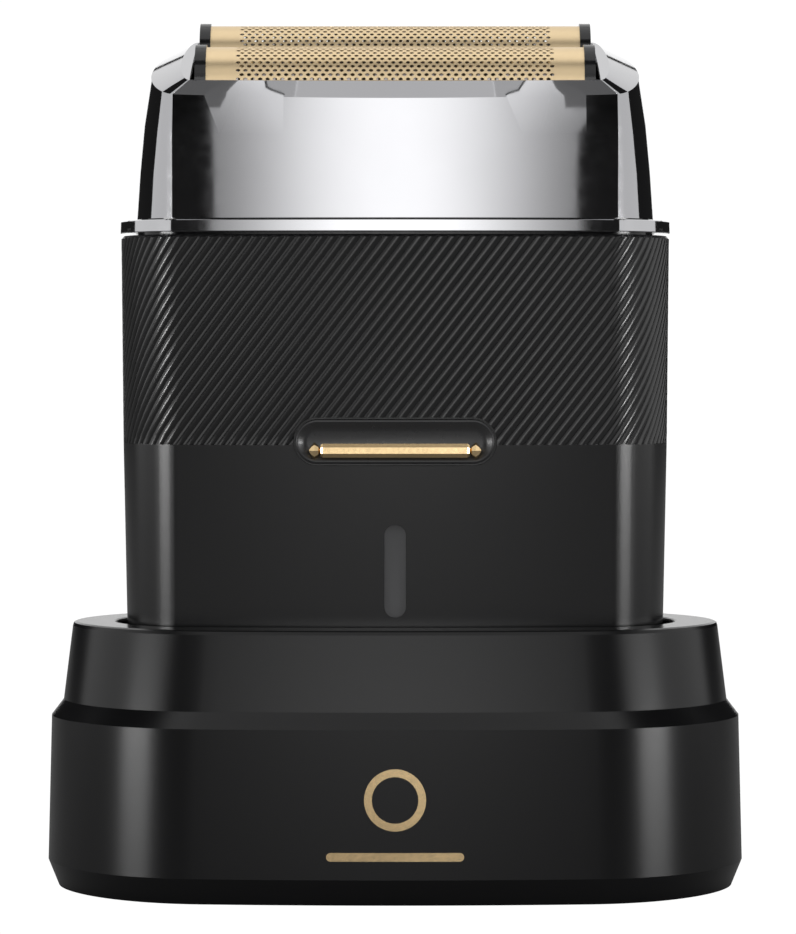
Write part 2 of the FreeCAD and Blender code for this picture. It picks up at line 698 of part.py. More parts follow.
def head_screws():
    seat = CARRIER_H[0]
    return Part.makeCompound(
        [in_head(screw(1.3, (seat - 1, seat), 0.7, (seat, -4.5), s * HEAD_SCREW_X, 0)) for s in (-1, 1)]
    )


def arch(r, s, x, low):
    """A solid arch of radius r over one foil's axis, from low up to its crown, between the x pair."""
    top = Part.makeCylinder(r, x[1] - x[0], Vector(x[0], s * FOIL_Y, FOIL_AXIS_H), Vector(1, 0, 0))
    return fuse(top, box(x, (s * FOIL_Y - r, s * FOIL_Y + r), (low, FOIL_AXIS_H)))


def foil_sheet(s):
    outer = arch(FOIL_R, s, (-FOIL_HALF, FOIL_HALF), FOIL_SKIRT_H)
    inner = arch(FOIL_R - FOIL_SHEET, s, (-30, 30), FOIL_SKIRT_H - 5)
    keep = box((-40, 40), (-20, 20), (FOIL_SKIRT_H, 20))
    return in_head(outer.cut(inner).common(keep))


def foil_frame(s):
    parts = []
    keep = box((-40, 40), (-20, 20), (FRAME_H, 20))
    for t in (-1, 1):
        x = sorted((t * END_X[0], t * END_X[1]))
        parts.append(arch(END_R, s, x, FRAME_H).common(keep))
        ear_x = sorted((t * END_X[0], t * EAR_X))
        parts.append(box(ear_x, (s * FOIL_Y - 1.6, s * FOIL_Y + 1.6), (FRAME_H, EAR_H)))
        y = sorted((s * FOIL_Y + t * RAIL_Y[0], s * FOIL_Y + t * RAIL_Y[1]))
        parts.append(box((-END_X[1], END_X[1]), y, (FRAME_H, RAIL_H)))
    return in_head(fuse(*parts))


def foil_springs(s):
    coils = [
        spring(0.95, 0.12, 3, Vector(t * (END_X[1] + 0.2), s * FOIL_Y, CARRIER_H[1]), FRAME_H)
        for t in (-1, 1)
    ]
    return in_head(Part.makeCompound(coils))


PARTS = {
    "dock_housing": dock_housing,
    "dock_cradle": dock_cradle,
    "dock_base_plate": dock_base_plate,
    "dock_feet": dock_feet,
    "dock_screws": dock_screws,
    "dock_ballast": dock_ballast,
    "dock_circuit_board": dock_circuit_board,
    "contact_sleeves": contact_sleeves,
    "charge_pins": charge_pins,
    "charge_pin_springs": charge_pin_springs,
    "charging_socket": charging_socket,
    "emblem_ring": emblem_ring,
    "emblem_bar": emblem_bar,
    "front_housing": front_housing,
    "rear_housing": rear_housing,
    "bottom_cap": bottom_cap,
    "cap_seal": cap_seal,
    "contact_plates": contact_plates,
    "cap_screws": cap_screws,
    "chassis": chassis,
    "guide_rods": guide_rods,
    "battery_cells": battery_cells,
    "main_circuit_board": main_circuit_board,
    "tactile_switch": tactile_switch,
    "indicator_led": indicator_led,
    "indicator_lens": indicator_lens,
    "motor_can": motor_can,
    "motor_shaft": motor_shaft,
    "eccentric_cam": eccentric_cam,
    "head_deck": head_deck,
    "deck_screws": deck_screws,
    "deck_seal": deck_seal,
    "head_bezel": head_bezel,
    "head_catches": head_catches,
    "power_button": power_button,
    "button_bar": button_bar,
    "oscillator_bridge": oscillator_bridge,
    "head_collar": head_collar,
    "head_frame": head_frame,
    "head_screws": head_screws,
    "front_foil": lambda: foil_sheet(FRONT),
    "front_foil_frame": lambda: foil_frame(FRONT),
    "front_foil_springs": lambda: foil_springs(FRONT),
    "front_cutter_blades": lambda: cutter_blades(FRONT),
    "front_cutter_holder": lambda: cutter_holder(FRONT),
    "front_cutter_spring": lambda: cutter_spring(FRONT),
    "rear_foil": lambda: foil_sheet(REAR),
    "rear_foil_frame": lambda: foil_frame(REAR),
    "rear_foil_springs": lambda: foil_springs(REAR),
    "rear_cutter_blades": lambda: cutter_blades(REAR),
    "rear_cutter_holder": lambda: cutter_holder(REAR),
    "rear_cutter_spring": lambda: cutter_spring(REAR),
}

os.makedirs("parts", exist_ok=True)
for node, make in PARTS.items():
    shape = make()
    shape.exportStep("parts/" + node + ".step")
    print(node, len(shape.Solids), shape.isValid(), round(shape.Volume, 2))
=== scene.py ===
"""Foil shaver in its charging dock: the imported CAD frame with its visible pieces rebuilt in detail.

Helpers take millimetres and turn them into metres when a mesh is made. Lights and the camera are placed in
metres. The front faces -Y.
"""

import bisect
import json
import math

import bmesh
import bpy
from mathutils import Matrix, Vector


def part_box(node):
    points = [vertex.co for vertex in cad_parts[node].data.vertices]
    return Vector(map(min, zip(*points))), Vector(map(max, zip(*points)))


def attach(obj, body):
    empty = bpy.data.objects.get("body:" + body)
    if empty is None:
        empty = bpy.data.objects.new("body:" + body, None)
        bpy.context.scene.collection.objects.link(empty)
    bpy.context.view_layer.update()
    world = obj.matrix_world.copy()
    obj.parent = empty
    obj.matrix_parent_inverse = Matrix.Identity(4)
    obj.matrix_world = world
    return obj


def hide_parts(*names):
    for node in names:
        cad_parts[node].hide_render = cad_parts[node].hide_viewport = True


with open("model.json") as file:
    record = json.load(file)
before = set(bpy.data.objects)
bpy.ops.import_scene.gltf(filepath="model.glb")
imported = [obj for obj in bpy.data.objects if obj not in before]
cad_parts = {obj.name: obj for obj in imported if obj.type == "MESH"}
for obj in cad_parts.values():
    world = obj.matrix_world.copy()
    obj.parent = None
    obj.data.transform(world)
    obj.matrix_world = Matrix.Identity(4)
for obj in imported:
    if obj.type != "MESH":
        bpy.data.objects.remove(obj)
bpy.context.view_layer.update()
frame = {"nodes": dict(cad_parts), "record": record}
NODES = frame["nodes"]
MM = 0.001
FRONT, REAR = -1, 1
GRAIN_DEPTH = 0.00003  # metres
MOULDED_IOR, CLEAR_IOR = 1.5, 1.49


def box_mm(node):
    """A CAD node's lowest and highest corners in millimetres."""
    low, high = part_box(node)
    return low / MM, high / MM


# ---- materials ---------------------------------------------------------------------------------------------
def new_material(name):
    material = bpy.data.materials.new(name)
    material.use_nodes = True
    return material, material.node_tree, material.node_tree.nodes["Principled BSDF"]


def noise(tree, scale, detail=3.0, stretch=(1, 1, 1)):
    """Object-space noise, scale in cells per metre, drawn out along an axis where stretch is small."""
    coords = tree.nodes.new("ShaderNodeTexCoord")
    mapping = tree.nodes.new("ShaderNodeMapping")
    mapping.inputs["Scale"].default_value = stretch
    texture = tree.nodes.new("ShaderNodeTexNoise")
    texture.inputs["Scale"].default_value = scale
    texture.inputs["Detail"].default_value = detail
    tree.links.new(coords.outputs["Object"], mapping.inputs["Vector"])
    tree.links.new(mapping.outputs["Vector"], texture.inputs["Vector"])
    return texture.outputs["Fac"]


def remap(tree, value, low, high):
    """Spreads a 0.3 to 0.7 noise over low to high."""
    node = tree.nodes.new("ShaderNodeMapRange")
    node.inputs["From Min"].default_value = 0.3
    node.inputs["From Max"].default_value = 0.7
    node.inputs["To Min"].default_value = low
    node.inputs["To Max"].default_value = high
    tree.links.new(value, node.inputs["Value"])
    return node.outputs["Result"]


def ramp(tree, value, low, high):
    """A colour that varies between two with a noise value."""
    node = tree.nodes.new("ShaderNodeValToRGB")
    node.color_ramp.elements[0].position = 0.35
    node.color_ramp.elements[1].position = 0.65
    node.color_ramp.elements[0].color = (*low, 1)
    node.color_ramp.elements[1].color = (*high, 1)
    tree.links.new(value, node.inputs["Fac"])
    return node.outputs["Color"]


def add_bump(tree, shader, height, strength, distance):
    node = tree.nodes.new("ShaderNodeBump")
    node.inputs["Strength"].default_value = strength
    node.inputs["Distance"].default_value = distance
    tree.links.new(height, node.inputs["Height"])
    tree.links.new(node.outputs["Normal"], shader.inputs["Normal"])


def surface(name, colour, rough, metallic=0.0, spread=0.12, rough_spread=0.06, grain=2500.0,
            bump=0.15, stretch=(1, 1, 1), specular=0.5):
    """A moulded or plated surface: broad colour and gloss variation, and a fine grain in its bump."""
    material, tree, shader = new_material(name)
    broad = noise(tree, 60.0)
    low = [c * (1 - spread) for c in colour]
    high = [min(1.0, c * (1 + spread)) for c in colour]
    tree.links.new(ramp(tree, broad, low, high), shader.inputs["Base Color"])
    fine = noise(tree, grain, 2.0, stretch)
    rough_value = remap(tree, fine, max(0.02, rough - rough_spread), rough + rough_spread)
    tree.links.new(rough_value, shader.inputs["Roughness"])
    shader.inputs["Metallic"].default_value = metallic
    shader.inputs["Specular IOR Level"].default_value = specular
    shader.inputs["IOR"].default_value = MOULDED_IOR
    if bump:
        add_bump(tree, shader, fine, bump, GRAIN_DEPTH)
    return material


def clear_plastic(name, colour, rough, transmission):
    material = surface(name, colour, rough, spread=0.02, rough_spread=0.01, grain=900.0, bump=0.01)
    shader = material.node_tree.nodes["Principled BSDF"]
    shader.inputs["Transmission Weight"].default_value = transmission
    shader.inputs["IOR"].default_value = CLEAR_IOR
    return material


LOOKS = {
    "dock_black": surface("dock satin black", (0.004, 0.004, 0.0045), 0.24, spread=0.04, rough_spread=0.015,
                          grain=5200.0, bump=0.03, specular=0.42),
    "dock_inner_black": surface("dock moulded black", (0.014, 0.014, 0.015), 0.5, grain=3000.0, bump=0.3),
    "body_black": surface("body satin black", (0.006, 0.006, 0.0065), 0.24, spread=0.04, rough_spread=0.015,
                          grain=5600.0, bump=0.03, specular=0.8),
    "seal_rubber": surface("seal rubber", (0.02, 0.02, 0.02), 0.7, grain=1800.0, bump=0.3),
    "zinc_steel": surface("zinc plated steel", (0.6, 0.6, 0.6), 0.32, 1.0, grain=1500.0),
    "spring_steel": surface("spring steel", (0.55, 0.55, 0.56), 0.25, 1.0, grain=1500.0),
    "circuit_board": surface("solder mask", (0.02, 0.16, 0.06), 0.3, spread=0.3, grain=700.0),
    "component_black": surface("component black", (0.03, 0.03, 0.03), 0.45, grain=2000.0),
    "gold_contact": surface("gold contact", (0.83, 0.6, 0.28), 0.22, 1.0, grain=1500.0),
    "gold_trim": surface("polished gold", (0.9, 0.66, 0.36), 0.2, 1.0, rough_spread=0.04, grain=3000.0,
                         bump=0.05),
    "foil_gold": surface("foil gold", (0.87, 0.68, 0.42), 0.36, 1.0, spread=0.03, rough_spread=0.02,
                         grain=2600.0, bump=0.01),
    "dark_chrome": surface("smoked chrome", (0.5, 0.5, 0.515), 0.055, 1.0, spread=0.02, rough_spread=0.012,
                           grain=700.0, bump=0.015),
    "bright_chrome": surface("bright chrome", (0.6, 0.6, 0.615), 0.07, 1.0, spread=0.02, rough_spread=0.015,
                             grain=700.0, bump=0.015),
    "frame_black": surface("frame gloss black", (0.01, 0.01, 0.011), 0.14, rough_spread=0.04, bump=0.05),
    "button_black": surface("button satin black", (0.016, 0.016, 0.017), 0.3, rough_spread=0.03, bump=0.03,
                            specular=0.9),
    "indicator_clear": clear_plastic("indicator lens", (0.12, 0.12, 0.125), 0.25, 0.25),
    "led_white": surface("led white", (0.85, 0.85, 0.78), 0.25, grain=900.0),
    "battery_wrap": surface("battery wrap", (0.05, 0.16, 0.42), 0.3, grain=900.0),
    "motor_steel": surface("motor steel", (0.55, 0.56, 0.57), 0.3, 1.0, stretch=(1, 1, 0.05)),
    "chassis_grey": surface("chassis grey", (0.16, 0.16, 0.17), 0.5, grain=1800.0),
    "acetal_white": surface("acetal white", (0.78, 0.78, 0.76), 0.42, grain=1800.0),
    "blade_steel": surface("blade steel", (0.4, 0.37, 0.37), 0.3, 1.0, stretch=(0.1, 1, 1), grain=2600.0),
}


def dress(piece, slot):
    """Gives a new piece its one material and its slot."""
    piece.data.materials.clear()
    piece.data.materials.append(LOOKS[slot])


for part in frame["record"]["subparts"]:
    node = NODES[part["node"]]
    if not node.data.materials:
        node.data.materials.append(None)
    for place in node.material_slots:
        place.material = LOOKS[part["material_slot"]]


# ---- outlines and meshes -----------------------------------------------------------------------------------
class Plan:
    """A family of rounded outlines: bowed front and back up to edge_x, then a corner curve to the side."""

    def __init__(self, bow, kink, along=14, round_steps=18):
        self.bow = bow
        self.kink = kink
        self.along = along
        self.round_steps = round_steps

    def quarter(self, a, b, edge_x, bow=None):
        """Points from the middle of the front to the middle of the right side."""
        bow = bow or self.bow
        front = [Vector((edge_x * i / self.along, -b + (edge_x * i / self.along) ** 2 / (2 * bow)))
                 for i in range(self.along + 1)]
        start = front[-1]
        slope = math.atan(edge_x / bow) + self.kink
        reach, rise = a - start.x, -start.y
        handle = 0.6 * reach / math.cos(slope)
        p1 = start + Vector((math.cos(slope), math.sin(slope))) * handle
        p2 = Vector((a, -0.42 * rise))
        end = Vector((a, 0.0))
        corner = []
        for i in range(1, self.round_steps + 1):
            t = i / self.round_steps
            s = 1 - t
            corner.append(start * s**3 + p1 * 3 * s * s * t + p2 * 3 * s * t * t + end * t**3)
        return front + corner

    def loop(self, a, b, edge_x, bow=None, rear_bow=None):
        """The whole closed outline, anticlockwise seen from above, starting at the middle of the front."""
        q = self.quarter(a, b, edge_x, bow)
        rear = self.quarter(a, b, edge_x, rear_bow or bow)
        right_rear = [Vector((p.x, -p.y)) for p in reversed(rear[:-1])]
        half = q + right_rear
        left = [Vector((-p.x, p.y)) for p in reversed(half[1:-1])]
        return half + left


def place_ring(points, z, y=0.0, tilt=0.0):
    """Outline points at height z, tilted about X by tilt degrees, as 3-D points."""
    turn = Matrix.Rotation(math.radians(tilt), 3, "X")
    return [Vector((0, y, z)) + turn @ Vector((p.x, p.y, 0)) for p in points]


def finish_mesh(bm, name, sharp_deg=14.0):
    """Turns a bmesh in millimetres into an object in metres, smooth but for edges sharper than sharp_deg."""
    bmesh.ops.scale(bm, vec=(MM, MM, MM), verts=bm.verts)
    bmesh.ops.recalc_face_normals(bm, faces=bm.faces)
    mark_sharp(bm, sharp_deg)
    mesh = bpy.data.meshes.new(name)
    bm.to_mesh(mesh)
    bm.free()
    piece = bpy.data.objects.new(name, mesh)
    bpy.context.scene.collection.objects.link(piece)
    return piece


def sharpen(piece, sharp_deg):
    """Marks the piece's edges sharp where its faces meet at more than sharp_deg."""
    bm = bmesh.new()
    bm.from_mesh(piece.data)
    mark_sharp(bm, sharp_deg)
    bm.to_mesh(piece.data)
    bm.free()


def mark_sharp(bm, sharp_deg):
    limit = math.radians(sharp_deg)
    for face in bm.faces:
        face.smooth = True
    for edge in bm.edges:
        edge.smooth = len(edge.link_faces) == 2 and edge.calc_face_angle(0) < limit


def loft(bm, rings, closed=False):
    """Skins rings of equal length, joined last to first when closed and capped when not."""
    rows = [[bm.verts.new(p) for p in ring] for ring in rings]
    pairs = list(zip(rows, rows[1:]))
    if closed:
        pairs.append((rows[-1], rows[0]))
    count = len(rows[0])
    for low, high in pairs:
        for i in range(count):
            j = (i + 1) % count
            bm.faces.new((low[i], low[j], high[j], high[i]))
    if not closed:
        bm.faces.new(list(reversed(rows[0])))
        bm.faces.new(rows[-1])


def soften(piece, width, segments=2, angle=16.0):
    """Rounds the piece's sharp edges a little, so that they catch the light."""
    bevel = piece.modifiers.new("soft edges", "BEVEL")
    bevel.width = width * MM
    bevel.segments = segments
    bevel.limit_method = "ANGLE"
    bevel.angle_limit = math.radians(angle)
    bevel.harden_normals = True
    apply_modifiers(piece)


def apply_modifiers(piece):
    depsgraph = bpy.context.evaluated_depsgraph_get()
    mesh = bpy.data.meshes.new_from_object(piece.evaluated_get(depsgraph))
    piece.modifiers.clear()
    piece.data = mesh


def cut_with(piece, tool):
    """Subtracts tool from piece and deletes the tool."""
    cut = piece.modifiers.new("cut", "BOOLEAN")
    cut.operation = "DIFFERENCE"
    cut.solver = "EXACT"
    cut.object = tool
    apply_modifiers(piece)
    bpy.data.objects.remove(tool)


def oval_points(width, height, steps=16):
    """A stadium outline in the x-z plane, anticlockwise seen from the front."""
    r = min(width, height) / 2
    run_x, run_z = max(width / 2 - r, 0), max(height / 2 - r, 0)
    points = []
    for i in range(4 * steps):
        angle = 2 * math.pi * (i + 0.5) / (4 * steps)
        c, s = math.cos(angle), math.sin(angle)
        points.append((math.copysign(run_x, c) + r * c, math.copysign(run_z, s) + r * s))
    return points


def oval_ring(width, height, z, y):
    return [Vector((x, y, z + dz)) for x, dz in oval_points(width, height)]


def oval_tool(width, height, z, y_pair):
    bm = bmesh.new()
    loft(bm, [oval_ring(width, height, z, y) for y in y_pair])
    return finish_mesh(bm, "tool")


# ---- dock --------------------------------------------------------------------------------------------------
DOCK_PLAN = Plan(bow=240.0, kink=0.0, along=12, round_steps=30)
BODY_PLAN = Plan(bow=170.0, kink=0.16)
DOCK_WALL = 2.2
DOCK_MOUTH = (33.75, 13.2)  # half width and half depth
FOOT_TOP = 3.7  # top of the bevel round the dock's foot
STEP_LOW, STEP_HIGH = 21.1, 23.0  # the sloping step between the dock's tiers


def dock_ring(z, a, b, inset=0.0):
    return place_ring(DOCK_PLAN.loop(a - inset, b - inset, (a - inset) * 0.56), z)


def build_dock():
    low, high = box_mm("dock_housing")
    a, b = high.x, high.y
    top = high.z
    mouth_a, mouth_b = DOCK_MOUTH
    outlines = (
        (low.z, 1.25),
        (FOOT_TOP, 0.0),
        (STEP_LOW, 0.45),
        (STEP_HIGH, 1.9),
        (top - 0.5, 3.02),
        (top - 0.14, 3.15),
        (top, 3.5),
    )
    rings = [dock_ring(z, a - inset, b - inset) for z, inset in outlines]
    for inset, drop in ((-0.35, 0.0), (-0.1, 0.1), (0.0, 0.35), (0.0, DOCK_WALL)):
        rings.append(place_ring(mouth_loop(mouth_a - inset, mouth_b - inset), top - drop))
    for z, inset in ((top - DOCK_WALL, DOCK_WALL), (FOOT_TOP, 0.3), (low.z, 0.3)):
        rings.append(dock_ring(z, a - 3.0, b - 3.0, inset))
    bm = bmesh.new()
    loft(bm, rings, closed=True)
    piece = finish_mesh(bm, "dock_shell", 9.0)
    socket_low, socket_high = box_mm("charging_socket")
    middle = (socket_low + socket_high) / 2
    size = socket_high - socket_low
    tool = oval_tool(size.x + 0.3, size.z + 0.3, middle.z, (socket_high.y - 5, socket_high.y + 5))
    cut_with(piece, tool)
    soften(piece, 0.22, 2, 12.0)
    dress(piece, "dock_black")
    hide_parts("dock_housing")
    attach(piece, "dock")


def mouth_loop(a, b):
    return DOCK_PLAN.loop(a, b, a * 0.72)


# ---- shaver body -------------------------------------------------------------------------------------------
BAND_DROP = 0.5  # the band and the casing's top edge sit this much lower than the drawn solids
RIB_PITCH = 1.29
RIB_HEIGHT = 0.18
RIB_SLOPE = math.tan(math.radians(52.0))
RIB_STEPS = 6
RIB_ZONE = 24.8  # height of the ribbed part, down from the casing's top
RIB_ROWS = 20
SMOOTH_ROWS = 12
INNER_ROWS = 8
CASING_WALL = 2.0
BODY_EDGE = 26.0  # where the body's bowed front gives way to its corner
# z, half width and half depth of the casing at three heights below its top
CASING_ROWS = ((11.0, 31.8, 11.75), (33.0, 32.38, 12.7), (55.0, 32.8, 13.7))


def casing_size(z, top, a, b):
    """The casing's half width and half depth at height z."""
    rows = CASING_ROWS + ((top, a, b),)
    for (z0, a0, b0), (z1, a1, b1) in zip(rows, rows[1:]):
        if z <= z1:
            t = (z - z0) / (z1 - z0)
            return a0 + (a1 - a0) * t, b0 + (b1 - b0) * t
    return a, b


class RoundLoop:
    """A closed outline that gives the point and outward normal at a share t of the way round."""

    def __init__(self, points):
        self.points = points
        self.at = [0.0]
        for p, q in zip(points, points[1:] + points[:1]):
            self.at.append(self.at[-1] + (q - p).length)
        self.length = self.at[-1]

    def sample(self, t):
        want = (t % 1.0) * self.length
        i = min(bisect.bisect_right(self.at, want) - 1, len(self.points) - 1)
        p, q = self.points[i], self.points[(i + 1) % len(self.points)]
        step = q - p
        along = (want - self.at[i]) / step.length
        return p + step * along, Vector((step.y, -step.x)).normalized()


def rib_profile(share):
    """Height of one rib, 0 to 1: a broad rounded crest between narrow grooves."""
    return (0.0, 0.72, 0.97, 1.0, 0.9, 0.55)[share]


def build_casing():
    low, high = box_mm("front_housing")
    top, a, b = high.z - BAND_DROP, high.x, -low.y
    rib_low = top - RIB_ZONE
    count = round(RoundLoop(BODY_PLAN.loop(a, b, BODY_EDGE)).length / RIB_PITCH)
    columns = count * RIB_STEPS

    def row(z, inset, ribs=0.0):
        ra, rb = casing_size(z, top, a, b)
        loop = RoundLoop(BODY_PLAN.loop(ra - inset, rb - inset, BODY_EDGE - inset * 0.6))
        shift = max(0.0, z - rib_low) / RIB_SLOPE / loop.length
        ring = []
        for i in range(columns):
            p, normal = loop.sample(i / columns + shift)
            lift = ribs * RIB_HEIGHT * (rib_profile(i % RIB_STEPS) - 1.0)
            ring.append(Vector((p.x + normal.x * lift, p.y + normal.y * lift, z)))
        return ring

    rings = [row(low.z, CASING_WALL), row(low.z, 0.25), row(low.z + 0.3, 0.0)]
    for i in range(1, SMOOTH_ROWS + 1):
        rings.append(row(low.z + 0.3 + (rib_low - low.z - 0.36) * i / SMOOTH_ROWS, 0.0))
    rings.append(row(rib_low, 0.0))
    for i in range(RIB_ROWS + 1):
        z = rib_low + 0.02 + (top - 0.35 - rib_low) * i / RIB_ROWS
        rings.append(row(z, 0.0, 1.0))
    rings += [row(top - 0.3, 0.05), row(top, 0.3), row(top, CASING_WALL)]
    for i in range(1, INNER_ROWS):
        rings.append(row(top + (low.z - top) * i / INNER_ROWS, CASING_WALL))
    for name, side, node in (("front_casing", FRONT, "front_housing"), ("rear_casing", REAR, "rear_housing")):
        bm = bmesh.new()
        loft(bm, rings, closed=True)
        geometry = list(bm.verts) + list(bm.edges) + list(bm.faces)
        cut = bmesh.ops.bisect_plane(bm, geom=geometry, plane_co=(0, side * 0.04, 0),
                                     plane_no=(0, -side, 0), clear_outer=True)
        edges = [e for e in cut["geom_cut"] if isinstance(e, bmesh.types.BMEdge)]
        bmesh.ops.holes_fill(bm, edges=edges)
        piece = finish_mesh(bm, name, 28.0)
        if side == FRONT:
            open_front(piece)
        dress(piece, "body_black")
        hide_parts(node)
        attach(piece, "handle")


BUTTON_RIM = 2.0  # the drawn button, with its flange, is this much wider and taller than its face
BUTTON_BACK_Y = -10.6


def open_front(piece):
    """Cuts the button's and the indicator's openings through the casing's front."""
    low, high = box_mm("power_button")
    middle_z = (low.z + high.z) / 2
    cut_with(piece, oval_tool(high.x - low.x - BUTTON_RIM + 0.5, 5.7, middle_z, (-20, -6)))
    low, high = box_mm("indicator_lens")
    middle_z = (low.z + high.z) / 2
    cut_with(piece, oval_tool(2.6, high.z - low.z - 1.6, middle_z, (-20, -6)))
    sharpen(piece, 28.0)


def build_button():
    low, high = box_mm("power_button")
    z = (low.z + high.z) / 2
    width, height = high.x - low.x - BUTTON_RIM, high.z - low.z - BUTTON_RIM
    face, back = low.y, BUTTON_BACK_Y
    rings = [
        oval_ring(width + 1.8, height + 1.8, z, back),
        oval_ring(width + 1.8, height + 1.8, z, back - 0.6),
        oval_ring(width, height, z, back - 0.6),
        oval_ring(width, height, z, face + 0.25),
        oval_ring(width - 0.14, height - 0.14, z, face + 0.07),
        oval_ring(width - 0.5, height - 0.5, z, face),
        oval_ring(width - 0.85, height - 0.85, z, face + 0.06),
        oval_ring(width - 1.7, height - 1.7, z, face + 0.42),
        oval_ring(width - 2.9, height - 2.9, z, face + 0.55),
    ]
    bm = bmesh.new()
    loft(bm, rings)
    piece = finish_mesh(bm, "button_cap", 40.0)
    dress(piece, "button_black")
    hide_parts("power_button")
    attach(piece, "button")


def build_button_bar():
    low, high = box_mm("button_bar")
    z = (low.z + high.z) / 2
    half = (high.x - low.x) / 2
    back, face = high.y + 0.35, low.y
    section = ((back, 0.78), (face + 0.22, 0.78), (face, 0.34),
               (face, -0.4), (face + 0.3, -0.86), (back, -0.86))
    bm = bmesh.new()
    body_end = half - 1.35
    rings = []
    for x, grow in ((-body_end, 0.82), (-body_end + 0.25, 1.0), (body_end - 0.25, 1.0), (body_end, 0.82)):
        rings.append([Vector((x, back + (y - back) * grow, z + dz * grow)) for y, dz in section])
    loft(bm, rings)
    for side in (-1, 1):
        centre = Vector((side * (half - 0.62), (back + face) / 2, z - 0.05))
        steps = 8
        stations = ((-0.7, 0.12), (-0.45, 0.62), (0.0, 0.98), (0.36, 0.62), (0.62, 0.16))
        rings = []
        for x, r in stations:
            ring = []
            for i in range(steps):
                angle = 2 * math.pi * i / steps
                ring.append(centre + Vector((side * x, r * 0.55 * math.cos(angle), r * math.sin(angle))))
            rings.append(ring)
        loft(bm, rings)
    piece = finish_mesh(bm, "button_gold_bar", 12.0)
    dress(piece, "gold_trim")
    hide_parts("button_bar")
    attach(piece, "button")


# ---- head --------------------------------------------------------------------------------------------------
TILT = 15.5
HEAD_AT = Vector((0, -1.8, 99.7))
HEAD_TURN = Matrix.Rotation(math.radians(TILT), 3, "X")
COLLAR_PLAN = Plan(bow=165.0, kink=0.24)
COLLAR_WALL = 1.2
REAR_BOW = 1500.0  # the head's back is almost flat


def in_head(p):
    """Turns a point in the tilted head's own axes into the object's."""
    return HEAD_AT + HEAD_TURN @ Vector(p)


def head_ring(a, b, edge_x, h, bow, shift=0.0):
    return [in_head((p.x, p.y + shift, h)) for p in COLLAR_PLAN.loop(a, b, edge_x, bow, REAR_BOW)]


def collar_ring(z, y, tilt, a, b, inset=0.0):
    loop = COLLAR_PLAN.loop(a - inset, b - inset, 26.3 - inset / 2, None, REAR_BOW)
    return place_ring(loop, z, y, tilt)


def opening_loop(half_x, half_y):
    """The collar's square-cornered mouth, with as many points as its outer outlines have."""
    return COLLAR_PLAN.loop(half_x, half_y, half_x - 0.12, 9000.0)


def build_collar():
    low, _ = box_mm("head_collar")
    outer = (
        (low.z - BAND_DROP, 0.0, 0.0, 31.15, 13.2),
        (86.5, -0.08, 4.0, 30.75, 13.15),
        (92.4, -0.28, 9.5, 30.2, 13.15),
    )
    rings = [collar_ring(*row) for row in outer]
    rings.append(head_ring(29.3, 13.1, 26.2, -1.8, 165.0, 0.6))
    rings.append(head_ring(25.6, 11.35, 24.2, 0.0, 600.0))
    for half_x, half_y, h in ((24.25, 10.95, 0.0), (24.1, 10.8, -0.2), (24.1, 10.8, -3.0)):
        rings.append([in_head((p.x, p.y, h)) for p in opening_loop(half_x, half_y)])
    rings.append(head_ring(27.6, 11.8, 25.0, -3.2, 200.0))
    rings += [collar_ring(*row, COLLAR_WALL) for row in reversed(outer)]
    bm = bmesh.new()
    loft(bm, rings, closed=True)
    piece = finish_mesh(bm, "collar_shell", 10.0)
    soften(piece, 0.16, 2, 11.0)
    dress(piece, "dark_chrome")
    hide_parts("head_collar")
    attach(piece, "head")


def build_bezel():
    low, high = box_mm("head_bezel")
    a, b = high.x, high.y
    rings = []
    for z, inset in ((low.z, 0.16), (low.z + 0.1, 0.0), (high.z - 0.1, 0.045), (high.z, 0.2),
                     (high.z, 1.9), (low.z, 1.9)):
        rings.append(place_ring(BODY_PLAN.loop(a - inset, b - inset, BODY_EDGE), z - BAND_DROP))
    bm = bmesh.new()
    loft(bm, rings, closed=True)
    piece = finish_mesh(bm, "bezel_band", 24.0)
    dress(piece, "bright_chrome")
    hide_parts("head_bezel")
    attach(piece, "handle")


FOIL_Y = 6.35
FOIL_R = 4.0
FOIL_AXIS_H = -1.1
FOIL_HALF = 22.35
FOIL_SKIRT = 4.3
FOIL_THICK = 0.1
HOLE_PITCH = 0.87
HOLE_ROW = 0.52
HOLE_SIZE = (0.26, 0.185)  # half width and half height of the oval holes
HOLES = 43
HOLE_ROWS = 21


def on_foil(side, x, s):
    """The foil's outside at x, and s along its arch from the crown."""
    reach = FOIL_R * math.pi / 2
    if abs(s) <= reach:
        angle = s / FOIL_R
        y, h = FOIL_R * math.sin(angle), FOIL_AXIS_H + FOIL_R * math.cos(angle)
    else:
        y, h = math.copysign(FOIL_R, s), FOIL_AXIS_H - (abs(s) - reach)
    return in_head((x, side * FOIL_Y + y, h))


def foil_cell(bm, spot, x, s):
    """One brick of the foil around x, s, with its hole."""
    rx, rs = HOLE_SIZE
    hx, hs = HOLE_PITCH / 2, HOLE_ROW / 2
    rim = ((hx, 0), (hx, hs), (0, hs), (-hx, hs), (-hx, 0), (-hx, -hs), (0, -hs), (hx, -hs))
    outer = [bm.verts.new(spot(x + dx, s + ds)) for dx, ds in rim]
    inner = []
    for dx, ds in rim:
        angle = math.atan2(ds, dx)
        inner.append(bm.verts.new(spot(x + rx * math.cos(angle), s + rs * math.sin(angle))))
    for i in range(8):
        j = (i + 1) % 8
        bm.faces.new((outer[i], outer[j], inner[j], inner[i]))


